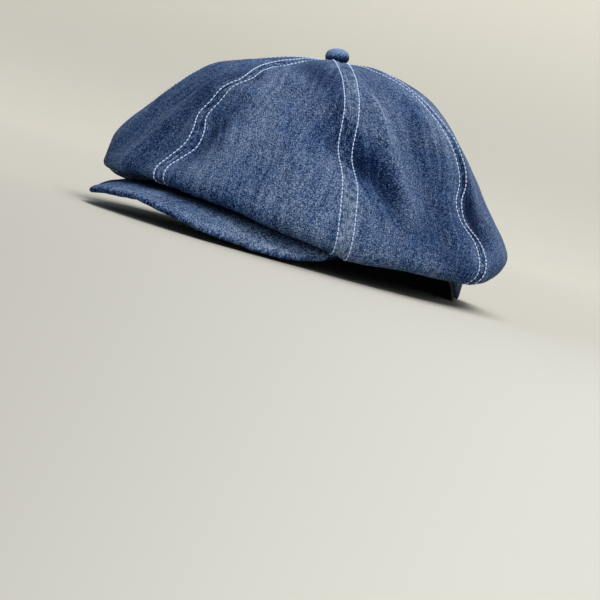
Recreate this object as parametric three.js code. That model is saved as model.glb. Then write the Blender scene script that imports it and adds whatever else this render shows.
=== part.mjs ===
// A denim peaked cap with eight crown panels, in millimetres.
// +Z is up, the peak points to -Y and the wearer's left is +X. The cap rests on z = 0.
// It builds the eight panels, the covered button, the headband with its inner band, and the peak.
import * as THREE from "three";

// Sizes of the crown.
const AXIS_Y = -8; // the crown's axis stands this far forward of the band's centre
const TOP_HEIGHT = 114;
const TIP_RADIUS = 4; // the panels' points stop at this radius, under the button
const TOP_LEAN = { x: -3.3, y: -11.2 }; // how far the top has slumped to the right and the front
const LEAN_REACH = 105; // radius at which the slump has died out
const PANEL_THICKNESS = 1.6;
const SEAM_GAP = 0.3;
const PANEL_FULLNESS = 2.4; // how far the middle of a panel stands out from its seams
const PANEL_CELLS_ACROSS = 8;
const PANEL_CELLS_ALONG = 22;
const UPPER_CELLS = 0.58; // this share of the cells lies above the hem's turn, the rest round it
const UPPER_LENGTH = 0.72; // and covers this share of the length

// Sizes of the band.
const BAND_HALF_WIDTH = 86;
const BAND_HALF_LENGTH = 102;
const BAND_THICKNESS = 2;
const BAND_HEIGHT = 28;
const BAND_HEM = 1.5; // the denim band ends this far above the inner band's edge
const INNER_BAND_THICKNESS = 1.2;
const BAND_CELLS_ROUND = 56;
const RIM_LIFT = 12; // the rim stands this high at the front and over the ears
const RIM_LIFT_START = 62; // and comes down to the surface between these two values of y
const RIM_LIFT_END = 30;
const CROWN_SEAM_HEIGHT = 21; // height of the seam between panels and band at the back
const CROWN_SEAM_RISE = 0.5; // share of the rim's lift that the seam takes up

// Sizes of the peak.
const PEAK_COVER_THICKNESS = 1.5;
const PEAK_ROOT_FRONT = 18.6; // height of the peak's root at the front
const PEAK_ROOT_END = 18; // and at its two ends
const PEAK_CURL = 2.2; // the higher, the later the peak bends down on its way out
const PEAK_CELLS_ROUND = 28;
const PEAK_CELLS_OUT = 6;

// Sizes of the button.
const BUTTON_RADIUS = 7;
const BUTTON_HEIGHT = 7.4;
const BUTTON_SEAT = 1; // space under the middle of the button
const BUTTON_TILT = 12; // degrees, towards the right front
const BUTTON_TILT_AXIS = new THREE.Vector3(0.643, -0.766, 0);

// Upright sections of the crown by azimuth, 0 at the front and 90 at the wearer's left: the height where the
// radius is 50 and 80, the radius at the heights 58 and 40, the widest point, and the lowest point.
const SECTION_COLUMNS = ["azimuth", "z50", "z80", "r58", "r40", "bellyR", "bellyZ", "lowR", "lowZ"];
const SECTIONS = [
  [-155, 106, 82, 101, 113.5, 120.5, 29, 113, 9],
  [-130, 106, 85, 101, 113, 118, 29, 103, 9],
  [-90, 105.5, 90.5, 105, 116, 122, 28, 111, 12.5],
  [-50, 102, 91, 110, 121.5, 121.8, 29, 116.8, 19.5],
  [-22, 102.5, 90, 107.5, 118, 124.5, 27, 119, 21.5],
  [0, 101, 90.5, 107, 115.5, 126, 25.5, 119, 21.5],
  [22, 104.5, 89, 107, 116.5, 126, 24, 119, 20],
  [36, 105.5, 88.5, 106.5, 117.5, 125.5, 22, 118, 15.5],
  [50, 105.5, 88.5, 105.5, 117.5, 125, 21.3, 117, 11.8],
  [70, 106.5, 89, 102.5, 114.5, 125, 20, 116, 14.5],
  [90, 109, 89, 101.5, 112, 124.5, 21.5, 113.5, 14],
  [112, 108.5, 80, 95, 112, 117, 30.5, 105, 19],
  [130, 107, 78.5, 96.5, 109.5, 114.5, 32, 99, 17.5],
  [155, 106.5, 80.5, 100.5, 113, 120, 29.5, 112.5, 11],
  [180, 106.5, 81, 102.5, 115, 122.5, 29, 116, 9],
].map((row) => Object.fromEntries(SECTION_COLUMNS.map((name, i) => [name, row[i]])));

// How far each seam strays from its own azimuth, in degrees, at shares of its length from the button.
const SEAM_SHARES = [0, 0.15, 0.25, 0.34, 0.42, 0.49, 0.54, 0.59, 0.64, 0.69, 0.74, 0.79, 0.84, 1];
const SEAMS = [
  { azimuth: -180, stray: [0, 0, 1, 1, 0, -1, -1, 0, 1, 2, 1, 0, 0, 0] },
  { azimuth: -135, stray: [0, 0, -1, -1, 0, 1, 2, 1, 0, -1, -1, 0, 0, 0] },
  { azimuth: -90, stray: [0, 0, 1, 2, 1, -1, -2, -1, 1, 2, 1, 0, 0, 0] },
  { azimuth: -45, stray: [0, 0, 0, 1, 2, 1, 0, -1, 0, 1, 1, 0, 0, 0] },
  { azimuth: 0, stray: [0, -1, -5, -2.5, 0.5, -2, -3, -3.8, -1, 0, -1.5, -2, -0.5, 0] },
  { azimuth: 45, stray: [0, -2, -1, -0.5, 0, 0, 0.5, 2, 3, 3.5, 4, 4.5, 4.5, 0] },
  { azimuth: 90, stray: [0, -8, -5, -3.5, -0.5, 1, 1, -2.5, -1.5, 4.5, 3.5, 1.5, 0.5, 0] },
  { azimuth: 135, stray: [0, 0, 1, 0, -1, 0, 1, 2, 1, 0, -1, 0, 0, 0] },
];

// Folds of the soft crown: each runs between two places given as azimuth and share of the length, with its
// half width in millimetres and its height, negative for a valley.
const FOLDS = [
  { name: "deep hollow across the middle seam", from: [43, 0.52], to: [51, 0.56], halfWidth: 15, height: -5.6 },
  { name: "thin ridge that ends the hollow", from: [54, 0.36], to: [65, 0.65], halfWidth: 5.5, height: 3.3 },
  { name: "the hollow's narrow lower end", from: [56, 0.5], to: [61, 0.68], halfWidth: 5, height: -2.2 },
  { name: "fulness under the hollow", from: [49, 0.65], to: [51, 0.78], halfWidth: 13, height: 2 },
  { name: "fulness high beside the side seam", from: [80, 0.28], to: [91, 0.45], halfWidth: 18, height: 2 },
  { name: "shallow valley behind the ridge", from: [71, 0.46], to: [77, 0.69], halfWidth: 10, height: -1.8 },
  { name: "hollow behind the side seam", from: [95, 0.62], to: [100, 0.67], halfWidth: 12, height: -4.2 },
  { name: "dent of the hem before the side seam", from: [83, 0.75], to: [83, 0.77], halfWidth: 9, height: -2.3 },
  { name: "long swelling of the left front", from: [47, 0.2], to: [35, 0.68], halfWidth: 17, height: 1.6 },
  { name: "ridge over the front seam's bend", from: [-4, 0.49], to: [8, 0.48], halfWidth: 10, height: 2.2 },
  { name: "dent under that bend", from: [3, 0.65], to: [3, 0.68], halfWidth: 10, height: -3.4 },
  { name: "swelling behind the dent", from: [15, 0.66], to: [17, 0.69], halfWidth: 10, height: 1 },
  { name: "long hollow before the front seam", from: [-6, 0.43], to: [-9, 0.83], halfWidth: 13, height: -2.6 },
  { name: "shallow hollow of the right front", from: [-21, 0.53], to: [-26, 0.76], halfWidth: 16, height: -2.2 },
  { name: "long valley at the right", from: [-70, 0.4], to: [-100, 0.66], halfWidth: 11, height: -3 },
  { name: "ridge at the right", from: [-112, 0.36], to: [-110, 0.68], halfWidth: 10, height: 2.6 },
  { name: "valley at the right back", from: [-128, 0.44], to: [-150, 0.7], halfWidth: 10, height: -2.8 },
  { name: "valley at the back", from: [168, 0.4], to: [150, 0.66], halfWidth: 11, height: -2.6 },
  { name: "ridge at the back", from: [178, 0.6], to: [196, 0.76], halfWidth: 12, height: 2 },
];

// The peak's outer edge from the middle to one end: share of the way, side offset, y, and the edge's height on
// the wearer's left and on the right, where the soft peak has sprung up a little.
const PEAK_EDGE_COLUMNS = ["share", "side", "y", "leftZ", "rightZ"];
const PEAK_EDGE = [
  [0, 0, -148, 11, 11],
  [0.15, 25, -146, 7.6, 8.4],
  [0.3, 46, -137, 4, 7],
  [0.45, 62, -121.5, 2.8, 6.6],
  [0.6, 75.5, -103, 2.8, 9.5],
  [0.75, 83.5, -83, 7.5, 13],
  [0.88, 84, -62, 13, 17],
  [1, 81.5, -43, 18, 18],
].map((row) => Object.fromEntries(PEAK_EDGE_COLUMNS.map((name, i) => [name, row[i]])));
const PEAK_ROOT_REACH = 67; // azimuth of the root's ends from the band's centre

const radians = THREE.MathUtils.degToRad;

function smooth(x) {
  const c = THREE.MathUtils.clamp(x, 0, 1);
  return c * c * (3 - 2 * c);
}

function hermite(y0, y1, m0, m1, h, s) {
  const s2 = s * s;
  const s3 = s2 * s;
  return (2 * s3 - 3 * s2 + 1) * y0 + (s3 - 2 * s2 + s) * h * m0 + (3 * s2 - 2 * s3) * y1 + (s3 - s2) * h * m1;
}

// A smooth curve through values at rising positions, read at x. Past an end it holds the end's value.
function readCurve(positions, values, x) {
  const last = positions.length - 1;
  if (x <= positions[0]) return values[0];
  if (x >= positions[last]) return values[last];
  let i = 0;
  while (x > positions[i + 1]) i += 1;
  const tangent = (k) => {
    const a = Math.max(k - 1, 0);
    const b = Math.min(k + 1, last);
    return (values[b] - values[a]) / (positions[b] - positions[a]);
  };
  const h = positions[i + 1] - positions[i];
  return hermite(values[i], values[i + 1], tangent(i), tangent(i + 1), h, (x - positions[i]) / h);
}

// The sections' columns repeated once to either side, so that the circle closes smoothly.
const wrapped = [-360, 0, 360].flatMap((turn) => SECTIONS.map((row) => ({ ...row, azimuth: row.azimuth + turn })));
const wrappedAzimuths = wrapped.map((row) => row.azimuth);

function sectionValue(name, azimuth) {
  const a = THREE.MathUtils.euclideanModulo(azimuth + 180, 360) - 180;
  return readCurve(wrappedAzimuths, wrapped.map((row) => row[name]), a);
}

function rimHeight(y) {
  return RIM_LIFT * smooth((RIM_LIFT_START - y) / (RIM_LIFT_START - RIM_LIFT_END));
}

// Radius from the crown's axis to the band's outer face.
function bandRadius(azimuth) {
  const dx = Math.sin(radians(azimuth)) / BAND_HALF_WIDTH;
  const dy = -Math.cos(radians(azimuth)) / BAND_HALF_LENGTH;
  const offset = AXIS_Y / BAND_HALF_LENGTH;
  const a = dx * dx + dy * dy;
  const b = 2 * dy * offset;
  return (-b + Math.sqrt(b * b - 4 * a * (offset * offset - 1))) / (2 * a);
}

// One upright section as a curve of (radius, height): over the top, down the side, round under and in to the band.
function makeSection(azimuth) {
  const at = (name) => sectionValue(name, azimuth);
  const band = bandRadius(azimuth);
  const rim = rimHeight(AXIS_Y - band * Math.cos(radians(azimuth)));
  const seamZ = CROWN_SEAM_HEIGHT + CROWN_SEAM_RISE * rim;
  const points = [
    [TIP_RADIUS, TOP_HEIGHT],
    [24, TOP_HEIGHT - 1.5 + 0.7 * (at("z50") - 105)],
    [50, at("z50")],
    [80, at("z80")],
    [at("r58"), 58],
    [at("r40"), 40],
    [at("bellyR"), at("bellyZ")],
    [(at("bellyR") + at("lowR")) / 2 + 2.6, at("lowZ") + 0.22 * (at("bellyZ") - at("lowZ"))],
    [at("lowR"), at("lowZ")],
    [Math.max(band + 3.4, at("lowR") - 13), Math.max((at("lowZ") + seamZ) / 2 + 0.5, at("lowZ") + 1)],
    [band + 0.5, seamZ],
  ];
  const curve = new THREE.CatmullRomCurve3(points.map(([r, z]) => new THREE.Vector3(r, 0, z)), false, "centripetal");
  curve.arcLengthDivisions = 400;
  return curve;
}

const sectionCache = new Map();

function sectionPoint(azimuth, share) {
  const key = azimuth.toFixed(3);
  if (!sectionCache.has(key)) sectionCache.set(key, makeSection(azimuth));
  return sectionCache.get(key).getPointAt(THREE.MathUtils.clamp(share, 0, 1));
}

// The crown before its folds and fullness.
function plainCrown(azimuth, share) {
  const p = sectionPoint(azimuth, share);
  const lean = 1 - smooth(p.x / LEAN_REACH);
  const a = radians(azimuth);
  const x = p.x * Math.sin(a) + TOP_LEAN.x * lean;
  const y = AXIS_Y - p.x * Math.cos(a) + TOP_LEAN.y * lean;
  return new THREE.Vector3(x, y, p.z);
}

function crownNormal(azimuth, share) {
  const stepShare = 0.004;
  const stepAzimuth = 0.5;
  const s = THREE.MathUtils.clamp(share, stepShare, 1 - stepShare);
  const along = plainCrown(azimuth, s + stepShare).sub(plainCrown(azimuth, s - stepShare));
  const round = plainCrown(azimuth + stepAzimuth, s).sub(plainCrown(azimuth - stepAzimuth, s));
  return along.cross(round).normalize();
}

// Height of the folds at a place of the crown. Distances are taken on the crown's own surface.
const MEAN_LENGTH = 180;
const MEAN_RADIUS = 100;

function foldHeight(azimuth, share) {
  let height = 0;
  for (const fold of FOLDS) {
    const turn = THREE.MathUtils.euclideanModulo(azimuth - fold.from[0] + 180, 360) - 180;
    const toMillimetres = (degrees) => radians(degrees) * MEAN_RADIUS;
    const p = new THREE.Vector2(toMillimetres(turn), (share - fold.from[1]) * MEAN_LENGTH);
    const d = new THREE.Vector2(toMillimetres(fold.to[0] - fold.from[0]), (fold.to[1] - fold.from[1]) * MEAN_LENGTH);
    const k = p.dot(d) / d.lengthSq();
    const across = Math.abs(p.cross(d)) / d.length() / fold.halfWidth;
    const past = (Math.max(-k, k - 1, 0) * d.length()) / (fold.halfWidth * 1.6);
    height += fold.height * Math.exp(-1.6 * (across * across + past * past));
  }
  return height;
}

function seamAzimuth(index, share) {
  const seam = SEAMS[THREE.MathUtils.euclideanModulo(index, SEAMS.length)];
  const turns = Math.floor(index / SEAMS.length) * 360;
  return seam.azimuth + turns + readCurve(SEAM_SHARES, seam.stray, share);
}

// Outer and inner point of a panel; across runs 0 to 1 between its seams, share from the button to the band.
function panelPoints(index, across, share) {
  const left = seamAzimuth(index, share);
  const right = seamAzimuth(index + 1, share);
  const middle = (left + right) / 2;
  const radius = sectionPoint(middle, share).x;
  const margin = THREE.MathUtils.radToDeg(SEAM_GAP / 2 / radius);
  const azimuth = THREE.MathUtils.lerp(left + margin, right - margin, across);
  const normal = crownNormal(azimuth, share);
  const w = 2 * across - 1;
  const swell = smooth(share / 0.3) * smooth((1 - share) / 0.22);
  const offset = swell * (PANEL_FULLNESS * (1 - w * w * w * w) - 0.8 + foldHeight(azimuth, share));
  const outer = plainCrown(azimuth, share).addScaledVector(normal, offset);
  const inner = outer.clone().addScaledVector(normal, -PANEL_THICKNESS);
  return { outer, inner };
}

// A closed solid from two grids of points, the outer seen from outside with columns to the right and rows down.
function slab(columns, rows, pointsAt, ring = false) {
  const positions = [];
  const indices = [];
  const wide = ring ? columns : columns + 1;
  const index = (i, j, side) => 2 * (j * wide + (i % wide)) + side;
  for (let j = 0; j <= rows; j += 1) {
    for (let i = 0; i < wide; i += 1) {
      const { outer, inner } = pointsAt(i / columns, j / rows);
      positions.push(...outer.toArray(), ...inner.toArray());
    }
  }
  const quad = (a, b, c, d) => indices.push(a, b, c, a, c, d);
  for (let j = 0; j < rows; j += 1) {
    for (let i = 0; i < columns; i += 1) {
      quad(index(i, j, 0), index(i, j + 1, 0), index(i + 1, j + 1, 0), index(i + 1, j, 0));
      quad(index(i, j, 1), index(i + 1, j, 1), index(i + 1, j + 1, 1), index(i, j + 1, 1));
    }
  }
  for (let i = 0; i < columns; i += 1) {
    quad(index(i, 0, 0), index(i + 1, 0, 0), index(i + 1, 0, 1), index(i, 0, 1));
    quad(index(i, rows, 0), index(i, rows, 1), index(i + 1, rows, 1), index(i + 1, rows, 0));
  }
  for (let j = 0; !ring && j < rows; j += 1) {
    quad(index(0, j, 0), index(0, j, 1), index(0, j + 1, 1), index(0, j + 1, 0));
    quad(index(columns, j, 0), index(columns, j + 1, 0), index(columns, j + 1, 1), index(columns, j, 1));
  }
  const geometry = new THREE.BufferGeometry();
  geometry.setAttribute("position", new THREE.Float32BufferAttribute(positions, 3));
  geometry.setIndex(indices);
  geometry.computeVertexNormals();
  return geometry;
}

function crownPanel(index) {
  const upper = (down) => (down / UPPER_CELLS) * UPPER_LENGTH;
  const lower = (down) => 1 - ((1 - down) / (1 - UPPER_CELLS)) * (1 - UPPER_LENGTH);
  return slab(PANEL_CELLS_ACROSS, PANEL_CELLS_ALONG, (across, down) =>
    panelPoints(index, across, down < UPPER_CELLS ? upper(down) : lower(down)),
  );
}

// A band round the head between two offsets from its outer face, from above the rim up to a height over it.
function bandRing(outside, inside, bottom, top) {
  const pointAt = (turn, up, offset) => {
    const a = 2 * Math.PI * turn;
    const x = (BAND_HALF_WIDTH + offset) * Math.sin(a);
    const y = -(BAND_HALF_LENGTH + offset) * Math.cos(a);
    const outline = -BAND_HALF_LENGTH * Math.cos(a);
    return new THREE.Vector3(x, y, rimHeight(outline) + THREE.MathUtils.lerp(top, bottom, up));
  };
  return slab(
    BAND_CELLS_ROUND,
    2,
    (turn, down) => ({ outer: pointAt(turn, down, outside), inner: pointAt(turn, down, inside) }),
    true,
  );
}

function headband() {
  return bandRing(0, -BAND_THICKNESS, BAND_HEM, BAND_HEIGHT);
}

function innerBand() {
  const outside = -BAND_THICKNESS - SEAM_GAP;
  return bandRing(outside, outside - INNER_BAND_THICKNESS, 0, BAND_HEIGHT - 1);
}

// Middle surface of the peak: round runs from its right end, -1, to its left end, 1; out from root to edge.
function peakMiddle(round, out) {
  const share = Math.abs(round);
  const side = Math.sign(round);
  const rootAngle = radians(PEAK_ROOT_REACH) * round;
  const root = new THREE.Vector3(
    (BAND_HALF_WIDTH + 0.5) * Math.sin(rootAngle),
    -(BAND_HALF_LENGTH + 0.5) * Math.cos(rootAngle),
    THREE.MathUtils.lerp(PEAK_ROOT_FRONT, PEAK_ROOT_END, smooth(share)),
  );
  const shares = PEAK_EDGE.map((row) => row.share);
  const read = (name) => readCurve(shares, PEAK_EDGE.map((row) => row[name]), share);
  const leftWeight = smooth(0.5 + round * 4);
  const edgeZ = THREE.MathUtils.lerp(read("rightZ"), read("leftZ"), leftWeight);
  const edge = new THREE.Vector3(side * read("side"), read("y"), edgeZ);
  const point = root.clone().lerp(edge, out);
  point.z = root.z + (edge.z - root.z) * out ** PEAK_CURL;
  return point;
}

function peakCover(near, far) {
  const step = 0.01;
  const offsetPoint = (round, out, offset) => {
    const r = THREE.MathUtils.clamp(round, step - 1, 1 - step);
    const o = THREE.MathUtils.clamp(out, step, 1 - step);
    const acrossIt = peakMiddle(r + step, o).sub(peakMiddle(r - step, o));
    const outwards = peakMiddle(r, o + step).sub(peakMiddle(r, o - step));
    const normal = outwards.cross(acrossIt).normalize();
    return peakMiddle(round, out).addScaledVector(normal, offset);
  };
  return slab(PEAK_CELLS_ROUND, PEAK_CELLS_OUT, (across, out) => ({
    outer: offsetPoint(2 * across - 1, out, near),
    inner: offsetPoint(2 * across - 1, out, far),
  }));
}

function peakTop() {
  return peakCover(SEAM_GAP / 2 + PEAK_COVER_THICKNESS, SEAM_GAP / 2);
}

function peakUnder() {
  return peakCover(-SEAM_GAP / 2, -SEAM_GAP / 2 - PEAK_COVER_THICKNESS);
}

function crownButton() {
  const profile = [
    [0, 0],
    [5.2, 0],
    [6.5, 0.9],
    [BUTTON_RADIUS, 2.4],
    [6.7, 4.2],
    [5.2, 6.1],
    [2.8, 7.1],
    [0, BUTTON_HEIGHT],
  ].map(([r, z]) => new THREE.Vector2(r, z));
  const geometry = new THREE.LatheGeometry(profile, 24);
  geometry.rotateX(Math.PI / 2);
  geometry.applyQuaternion(new THREE.Quaternion().setFromAxisAngle(BUTTON_TILT_AXIS, radians(BUTTON_TILT)));
  geometry.translate(TOP_LEAN.x, AXIS_Y + TOP_LEAN.y, TOP_HEIGHT + BUTTON_SEAT);
  return geometry;
}

const cap = new THREE.Group();
cap.name = "peaked_cap";

function add(name, geometry, colour) {
  const material = new THREE.MeshStandardMaterial({ color: colour, roughness: 0.9 });
  material.name = name;
  const mesh = new THREE.Mesh(geometry, material);
  mesh.name = name;
  cap.add(mesh);
}

SEAMS.forEach((seam, i) => add(`crown_panel_${i + 1}`, crownPanel(i), 0x46618c));
add("crown_button", crownButton(), 0x3d5078);
add("headband", headband(), 0x40587f);
add("inner_band", innerBand(), 0x23262e);
add("peak_top", peakTop(), 0x4b6590);
add("peak_under", peakUnder(), 0x35486b);

// The row's origin is the middle of the whole cap's footprint, on the surface that it rests on.
const bounds = new THREE.Box3().setFromObject(cap);
const middle = bounds.getCenter(new THREE.Vector3());
cap.children.forEach((mesh) => mesh.geometry.translate(-middle.x, -middle.y, -bounds.min.z));
console.log(`footprint middle ${middle.x.toFixed(3)}, ${middle.y.toFixed(3)}; lowest ${bounds.min.z.toFixed(3)}`);

export default cap;
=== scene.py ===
"""A denim peaked cap resting on a pale studio floor.

Blender 4.5, metres, +Z up. The peak points to -Y and the wearer's left is +X.
The shapes are worked out in millimetres about the middle of the headband and scaled when a mesh is made.
"""
import math

import bpy
import numpy as np
from mathutils import Matrix, Vector


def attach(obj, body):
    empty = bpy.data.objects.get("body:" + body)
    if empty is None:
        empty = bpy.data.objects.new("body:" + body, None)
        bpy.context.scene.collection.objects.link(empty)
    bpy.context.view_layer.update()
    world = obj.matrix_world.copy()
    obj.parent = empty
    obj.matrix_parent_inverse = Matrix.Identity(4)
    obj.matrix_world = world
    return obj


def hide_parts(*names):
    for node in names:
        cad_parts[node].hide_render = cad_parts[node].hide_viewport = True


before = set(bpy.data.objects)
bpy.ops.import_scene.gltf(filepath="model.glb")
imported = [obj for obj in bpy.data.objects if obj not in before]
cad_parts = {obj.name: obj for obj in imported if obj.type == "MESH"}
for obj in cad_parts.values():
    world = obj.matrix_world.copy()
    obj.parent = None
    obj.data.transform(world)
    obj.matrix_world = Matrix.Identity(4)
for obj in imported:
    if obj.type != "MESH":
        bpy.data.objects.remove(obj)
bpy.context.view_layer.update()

# Frame
MM = 0.001
FOOTPRINT_MIDDLE = np.array((1.059, -16.658, 0.0))  # seen from the middle of the band

# Crown
AXIS_Y = -8.0
TOP_HEIGHT = 114.0
TIP_RADIUS = 4.0
TOP_LEAN = (-3.3, -11.2)  # how far the top has slumped to the right and the front
LEAN_REACH = 105.0  # radius at which the slump has died out
PANEL_THICKNESS = 1.6
PANEL_FULLNESS = 2.4
SEAM_SINK = 0.8  # how far the seams lie under the plain surface
FULLNESS_START = 0.3  # share of the length over which a panel fills out, from the button
FULLNESS_END = 0.22  # share over which it flattens again, towards the band
SHOULDER_RADIUS = 24.0
SHOULDER_DROP = 1.5
SHOULDER_SHARE = 0.7  # share of the changes at radius 50 that the shoulder follows
SHOULDER_LEVEL = 105.0  # height at radius 50 that leaves the shoulder as it is
HEM_BULGE = 2.6  # how far the cloth stands out between its belly and its lowest point
HEM_BULGE_PLACE = 0.22  # place of that bulge above the lowest point, as a share
UNDERSIDE_REACH = 13.0  # how far the cloth runs back in under the hem
UNDERSIDE_CLEARANCE = 3.4

# Band
BAND_HALF_WIDTH = 86.0
BAND_HALF_LENGTH = 102.0
BAND_THICKNESS = 2.0
BAND_HEIGHT = 28.0
BAND_HEM = 1.5
BAND_GAP = 0.3
INNER_BAND_THICKNESS = 1.2
RIM_LIFT = 12.0
RIM_LIFT_START = 62.0
RIM_LIFT_END = 30.0
CROWN_SEAM_HEIGHT = 21.0
CROWN_SEAM_RISE = 0.5

# Peak
PEAK_THICKNESS = 3.3
PEAK_ROOT_FRONT = 18.6
PEAK_ROOT_END = 18.0
PEAK_CURL = 2.2
PEAK_ROOT_REACH = 67.0
PEAK_STAND_OFF = 0.5  # from the band's outer face to the peak's root
PEAK_SIDES_MEET = 0.125  # the heights of the two sides blend this far round from the middle

# Button
BUTTON_SEAT = 1.0
BUTTON_TILT = math.radians(12)
BUTTON_TILT_AXIS = Vector((0.643, -0.766, 0))

# Stitching
STITCH_OFFSET = 4.0  # the two rows lie this far either side of a seam
STITCH_PITCH = 2.55
STITCH_LENGTH = 2.15
STITCH_SINK = 0.1
STITCH_BOW = 0.32
STITCH_STAGGER = 0.6  # how far the right row is shifted along the left
STITCH_NARROWING = 0.4  # the rows' place across a panel that is too narrow for their offset
STITCH_FIRST_SHARE = 0.03
STITCH_LAST_SHARE = 0.95
THREAD_RADIUS = 0.32

# Relief of a seam: heights, depths and reaches in millimetres
STRIP_LIFT = 0.55
STRIP_HALF_WIDTH = 4.6
STRIP_FALL = 2.4
GROOVE_DEPTH = 0.5
GROOVE_HALF_WIDTH = 0.7
ROW_DEPTH = 0.42
ROW_HALF_WIDTH = 0.75
PUCKER_HEIGHT = 0.22
PUCKER_LENGTH = 6.5
PUCKER_REACH = 9.0
ALLOWANCE_THICKNESS = 0.5
ALLOWANCE_WIDTH = 8.5
ALLOWANCE_FALL = 0.8

# Third cloth coordinate, so that no two pieces show the same part of the pattern
PANEL_PATTERN_STEP = 137.0
BAND_PATTERN = 911.0
PEAK_PATTERN = 1733.5
BUTTON_PATTERN = 2741.5

# Upright sections of the crown by azimuth, 0 at the front and 90 at the wearer's left. A column z50 holds
# the height at radius 50, and r58 the radius at height 58.
SECTION_COLUMNS = ("azimuth", "z50", "z80", "r58", "r40", "belly_r", "belly_z", "low_r", "low_z")
SECTIONS = (
    (-155, 106, 82, 101, 113.5, 120.5, 29, 113, 9),
    (-130, 106, 85, 101, 113, 118, 29, 103, 9),
    (-90, 105.5, 90.5, 105, 116, 122, 28, 111, 12.5),
    (-50, 102, 91, 110, 121.5, 121.8, 29, 116.8, 19.5),
    (-22, 102.5, 90, 107.5, 118, 124.5, 27, 119, 21.5),
    (0, 101, 90.5, 107, 115.5, 126, 25.5, 119, 21.5),
    (22, 104.5, 89, 107, 116.5, 126, 24, 119, 20),
    (36, 105.5, 88.5, 106.5, 117.5, 125.5, 22, 118, 15.5),
    (50, 105.5, 88.5, 105.5, 117.5, 125, 21.3, 117, 11.8),
    (70, 106.5, 89, 102.5, 114.5, 125, 20, 116, 14.5),
    (90, 109, 89, 101.5, 112, 124.5, 21.5, 113.5, 14),
    (112, 108.5, 80, 95, 112, 117, 30.5, 105, 19),
    (130, 107, 78.5, 96.5, 109.5, 114.5, 32, 99, 17.5),
    (155, 106.5, 80.5, 100.5, 113, 120, 29.5, 112.5, 11),
    (180, 106.5, 81, 102.5, 115, 122.5, 29, 116, 9),
)

# How far each seam strays from its own azimuth, in degrees, at shares of its length from the button.
SEAM_SHARES = (0, 0.15, 0.25, 0.34, 0.42, 0.49, 0.54, 0.59, 0.64, 0.69, 0.74, 0.79, 0.84, 1)
SEAMS = (
    {"azimuth": -180, "stray": (0, 0, 1, 1, 0, -1, -1, 0, 1, 2, 1, 0, 0, 0)},
    {"azimuth": -135, "stray": (0, 0, -1, -1, 0, 1, 2, 1, 0, -1, -1, 0, 0, 0)},
    {"azimuth": -90, "stray": (0, 0, 1, 2, 1, -1, -2, -1, 1, 2, 1, 0, 0, 0)},
    {"azimuth": -45, "stray": (0, 0, 0, 1, 2, 1, 0, -1, 0, 1, 1, 0, 0, 0)},
    {"azimuth": 0, "stray": (0, -1, -5, -2.5, 0.5, -2, -3, -3.8, -1, 0, -1.5, -2, -0.5, 0)},
    {"azimuth": 45, "stray": (0, -2, -1, -0.5, 0, 0, 0.5, 2, 3, 3.5, 4, 4.5, 4.5, 0)},
    {"azimuth": 90, "stray": (0, -8, -5, -3.5, -0.5, 1, 1, -2.5, -1.5, 4.5, 3.5, 1.5, 0.5, 0)},
    {"azimuth": 135, "stray": (0, 0, 1, 0, -1, 0, 1, 2, 1, 0, -1, 0, 0, 0)},
)
PANEL_COUNT = len(SEAMS)

# Change of tone between a seam's two rows of stitches, by the seam's azimuth.
STRIP_SHADES = {0: -0.12, 45: 0.06, 90: -0.18}
STRIP_SHADE_HALF_WIDTH = 3.0
STRIP_SHADE_FALL = 1.5

# Folds of the soft crown. Start and end are an azimuth and a share of the length, and the half width and
# the height are in millimetres.
FOLD_COLUMNS = ("azimuth_1", "share_1", "azimuth_2", "share_2", "half_width", "height")
FOLDS = (
    (43, 0.52, 51, 0.56, 15, -5.6),  # deep hollow across the middle seam
    (54, 0.36, 65, 0.65, 5.5, 3.3),  # thin ridge that ends the hollow
    (56, 0.5, 61, 0.68, 5, -2.2),  # the hollow's narrow lower end
    (49, 0.65, 51, 0.78, 13, 2),  # fulness under the hollow
    (80, 0.28, 91, 0.45, 18, 2),  # fulness high beside the side seam
    (71, 0.46, 77, 0.69, 10, -1.8),  # shallow valley behind the ridge
    (95, 0.62, 100, 0.67, 12, -4.2),  # hollow behind the side seam
    (83, 0.75, 83, 0.77, 9, -2.3),  # dent of the hem before the side seam
    (47, 0.2, 35, 0.68, 17, 1.6),  # long swelling of the left front
    (-4, 0.49, 8, 0.48, 10, 2.2),  # ridge over the front seam's bend
    (3, 0.65, 3, 0.68, 10, -3.4),  # dent under that bend
    (15, 0.66, 17, 0.69, 10, 1),  # swelling behind the dent
    (-6, 0.43, -9, 0.83, 13, -2.6),  # long hollow before the front seam
    (-21, 0.53, -26, 0.76, 16, -2.2),  # shallow hollow of the right front
    (-70, 0.4, -100, 0.66, 11, -3),  # long valley at the right
    (-112, 0.36, -110, 0.68, 10, 2.6),  # ridge at the right
    (-128, 0.44, -150, 0.7, 10, -2.8),  # valley at the right back
    (168, 0.4, 150, 0.66, 11, -2.6),  # valley at the back
    (178, 0.6, 196, 0.76, 12, 2),  # ridge at the back
)

# Painted light and shade: places drawn paler or darker than the rest, where light falls or shade lies, in
# the columns of the folds, with the change of tone as height.
PAINTED_LIGHT_AND_SHADE = (
    (-30, 0.3, -34, 0.72, 14, -0.08),  # right front
    (5, 0.42, 8, 0.62, 10, -0.26),  # under the front seam's bend
    (-12, 0.52, -13, 0.84, 9, -0.22),  # before the front seam
    (13, 0.48, 12, 0.78, 12, 0.08),  # behind the front seam
    (18, 0.22, 34, 0.32, 17, -0.36),  # high at the left front
    (38, 0.66, 42, 0.78, 11, 0.1),  # foot of the left front
    (4, 0.86, 38, 0.87, 10, -0.5),  # hem over the peak
    (72, 0.4, 78, 0.64, 12, -0.2),  # before the side seam
    (70, 0.73, 86, 0.79, 9, -0.16),  # hem before the side seam
    (93, 0.5, 98, 0.66, 9, -0.5),  # hollow behind the side seam
    (88, 0.2, 108, 0.5, 9, 0.14),  # high behind the side seam
    (40, 0.42, 60, 0.62, 8, -0.28),  # deepest place of the hollow
)
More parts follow.
